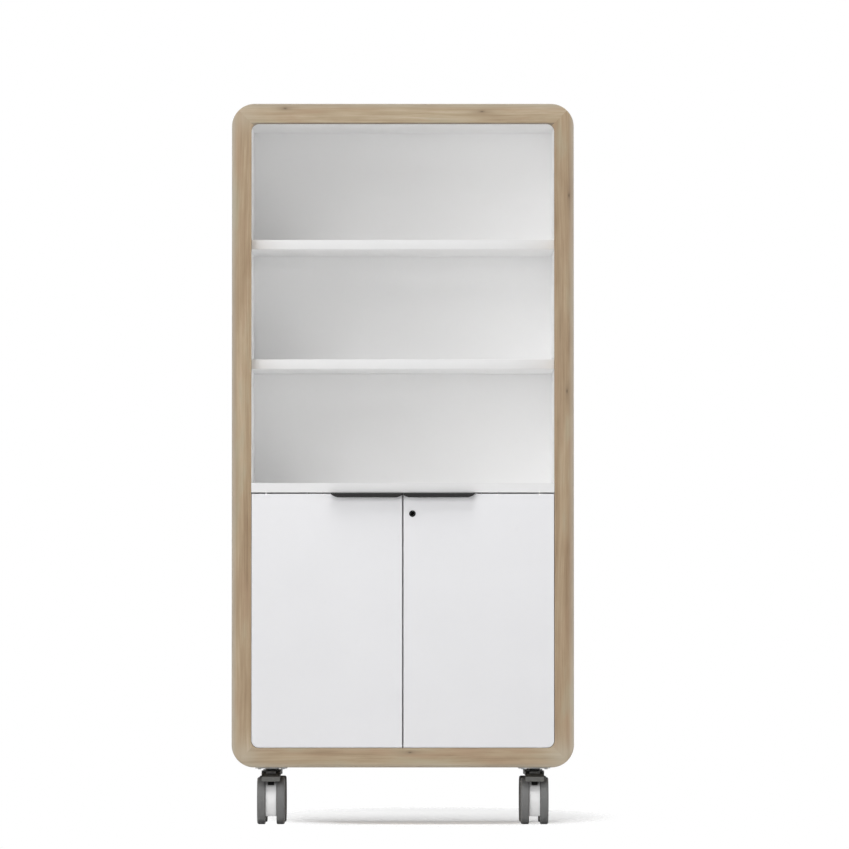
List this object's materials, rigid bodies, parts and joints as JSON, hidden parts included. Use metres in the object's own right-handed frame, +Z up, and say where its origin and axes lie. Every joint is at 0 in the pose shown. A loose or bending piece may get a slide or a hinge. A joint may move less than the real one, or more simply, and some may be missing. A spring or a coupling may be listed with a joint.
{
  "type": "mobile storage cabinet",
  "caption": "Tall mobile office cabinet: rounded oak-decor frame, white carcass with open shelves, double-door cupboard with edge pulls and cam lock, on twin-wheel swivel casters",
  "frame": {"origin": "middle of the outer box in X and Y, on the floor under the wheels", "axes": "+Z up, the doors face -Y, +X is the viewer's right"},
  "size_m": [0.9, 0.468, 1.897],
  "materials": {
    "oak_laminate": "oak decor, fine matt grain",
    "white_laminate": "white melamine, fine matt texture",
    "white_door": "white melamine, fine matt texture",
    "dark_metal": "dark grey powder coat",
    "black_metal": "black coat",
    "plated_steel": "zinc plated",
    "black_plastic": "black moulded nylon",
    "grey_plastic": "light grey moulded nylon",
    "wheel_rubber": "dark grey, matt",
    "white_nylon": "natural nylon"
  },
  "bodies": {
    "cabinet": {"frame_top": "oak_laminate", "frame_bottom": "oak_laminate", "frame_left": "oak_laminate", "frame_right": "oak_laminate", "side_panel_left": "white_laminate", "side_panel_right": "white_laminate", "top_panel": "white_laminate", "bottom_panel": "white_laminate", "back_panel": "white_laminate", "divider_shelf": "white_laminate", "upper_shelf": "white_laminate", "middle_shelf": "white_laminate", "lower_shelf": "white_laminate", "shelf_pin_front_left": "plated_steel", "shelf_pin_front_right": "plated_steel", "shelf_pin_rear_left": "plated_steel", "shelf_pin_rear_right": "plated_steel", "hinge_pin_left_top": "plated_steel", "hinge_pin_left_bottom": "plated_steel", "magnet_catch_left": "black_plastic", "hinge_pin_right_top": "plated_steel", "hinge_pin_right_bottom": "plated_steel", "magnet_catch_right": "black_plastic", "caster_front_left_plate": "plated_steel", "caster_front_right_plate": "plated_steel", "caster_rear_left_plate": "plated_steel", "caster_rear_right_plate": "plated_steel"},
    "door_left_leaf": {"door_left": "white_door", "handle_left": "dark_metal", "hinge_bush_left": "white_nylon", "catch_plate_left": "plated_steel"},
    "door_right_leaf": {"door_right": "white_door", "handle_right": "dark_metal", "hinge_bush_right": "white_nylon", "catch_plate_right": "plated_steel", "lock_housing": "black_metal"},
    "lock_core": {"lock_plug": "black_metal", "lock_cam": "plated_steel"},
    "front_left_swivel": {"caster_front_left_head": "black_plastic", "caster_front_left_body": "grey_plastic", "caster_front_left_axle": "plated_steel"},
    "front_left_wheel_left": {"caster_front_left_wheel_left": "wheel_rubber"},
    "front_left_wheel_right": {"caster_front_left_wheel_right": "wheel_rubber"},
    "front_left_pedal": {"caster_front_left_pedal": "black_plastic"},
    "front_right_swivel": {"caster_front_right_head": "black_plastic", "caster_front_right_body": "grey_plastic", "caster_front_right_axle": "plated_steel"},
    "front_right_wheel_left": {"caster_front_right_wheel_left": "wheel_rubber"},
    "front_right_wheel_right": {"caster_front_right_wheel_right": "wheel_rubber"},
    "front_right_pedal": {"caster_front_right_pedal": "black_plastic"},
    "rear_left_swivel": {"caster_rear_left_head": "black_plastic", "caster_rear_left_body": "grey_plastic", "caster_rear_left_axle": "plated_steel"},
    "rear_left_wheel_left": {"caster_rear_left_wheel_left": "wheel_rubber"},
    "rear_left_wheel_right": {"caster_rear_left_wheel_right": "wheel_rubber"},
    "rear_right_swivel": {"caster_rear_right_head": "black_plastic", "caster_rear_right_body": "grey_plastic", "caster_rear_right_axle": "plated_steel"},
    "rear_right_wheel_left": {"caster_rear_right_wheel_left": "wheel_rubber"},
    "rear_right_wheel_right": {"caster_rear_right_wheel_right": "wheel_rubber"}
  },
  "joints": [
    {"name": "door_left_swing", "type": "hinge", "parent": "cabinet", "child": "door_left_leaf", "pos_m": [-0.3598, -0.209, 0.5358], "axis": [0, 0, -1], "range_deg": [0, 105]},
    {"name": "door_right_swing", "type": "hinge", "parent": "cabinet", "child": "door_right_leaf", "pos_m": [0.3598, -0.209, 0.5358], "axis": [0, 0, 1], "range_deg": [0, 105]},
    {"name": "lock_turn", "type": "hinge", "parent": "door_right_leaf", "child": "lock_core", "pos_m": [0.0252, -0.216, 0.8173], "axis": [0, -1, 0], "range_deg": [0, 90]},
    {"name": "front_left_swivel_turn", "type": "hinge", "parent": "cabinet", "child": "front_left_swivel", "pos_m": [-0.347, -0.125, 0.1464], "axis": [0, 0, 1], "continuous": true},
    {"name": "front_left_wheel_left_spin", "type": "hinge", "parent": "front_left_swivel", "child": "front_left_wheel_left", "pos_m": [-0.3725, -0.153, 0.062], "axis": [1, 0, 0], "continuous": true},
    {"name": "front_left_wheel_right_spin", "type": "hinge", "parent": "front_left_swivel", "child": "front_left_wheel_right", "pos_m": [-0.3215, -0.153, 0.062], "axis": [1, 0, 0], "continuous": true},
    {"name": "front_left_pedal_press", "type": "hinge", "parent": "front_left_swivel", "child": "front_left_pedal", "pos_m": [-0.347, -0.159, 0.134], "axis": [1, 0, 0], "range_deg": [0, 10]},
    {"name": "front_right_swivel_turn", "type": "hinge", "parent": "cabinet", "child": "front_right_swivel", "pos_m": [0.347, -0.125, 0.1464], "axis": [0, 0, 1], "continuous": true},
    {"name": "front_right_wheel_left_spin", "type": "hinge", "parent": "front_right_swivel", "child": "front_right_wheel_left", "pos_m": [0.3215, -0.153, 0.062], "axis": [1, 0, 0], "continuous": true},
    {"name": "front_right_wheel_right_spin", "type": "hinge", "parent": "front_right_swivel", "child": "front_right_wheel_right", "pos_m": [0.3725, -0.153, 0.062], "axis": [1, 0, 0], "continuous": true},
    {"name": "front_right_pedal_press", "type": "hinge", "parent": "front_right_swivel", "child": "front_right_pedal", "pos_m": [0.347, -0.159, 0.134], "axis": [1, 0, 0], "range_deg": [0, 10]},
    {"name": "rear_left_swivel_turn", "type": "hinge", "parent": "cabinet", "child": "rear_left_swivel", "pos_m": [-0.347, 0.143, 0.1464], "axis": [0, 0, 1], "continuous": true},
    {"name": "rear_left_wheel_left_spin", "type": "hinge", "parent": "rear_left_swivel", "child": "rear_left_wheel_left", "pos_m": [-0.3725, 0.171, 0.062], "axis": [1, 0, 0], "continuous": true},
    {"name": "rear_left_wheel_right_spin", "type": "hinge", "parent": "rear_left_swivel", "child": "rear_left_wheel_right", "pos_m": [-0.3215, 0.171, 0.062], "axis": [1, 0, 0], "continuous": true},
    {"name": "rear_right_swivel_turn", "type": "hinge", "parent": "cabinet", "child": "rear_right_swivel", "pos_m": [0.347, 0.143, 0.1464], "axis": [0, 0, 1], "continuous": true},
    {"name": "rear_right_wheel_left_spin", "type": "hinge", "parent": "rear_right_swivel", "child": "rear_right_wheel_left", "pos_m": [0.3215, 0.171, 0.062], "axis": [1, 0, 0], "continuous": true},
    {"name": "rear_right_wheel_right_spin", "type": "hinge", "parent": "rear_right_swivel", "child": "rear_right_wheel_right", "pos_m": [0.3725, 0.171, 0.062], "axis": [1, 0, 0], "continuous": true}
  ]
}
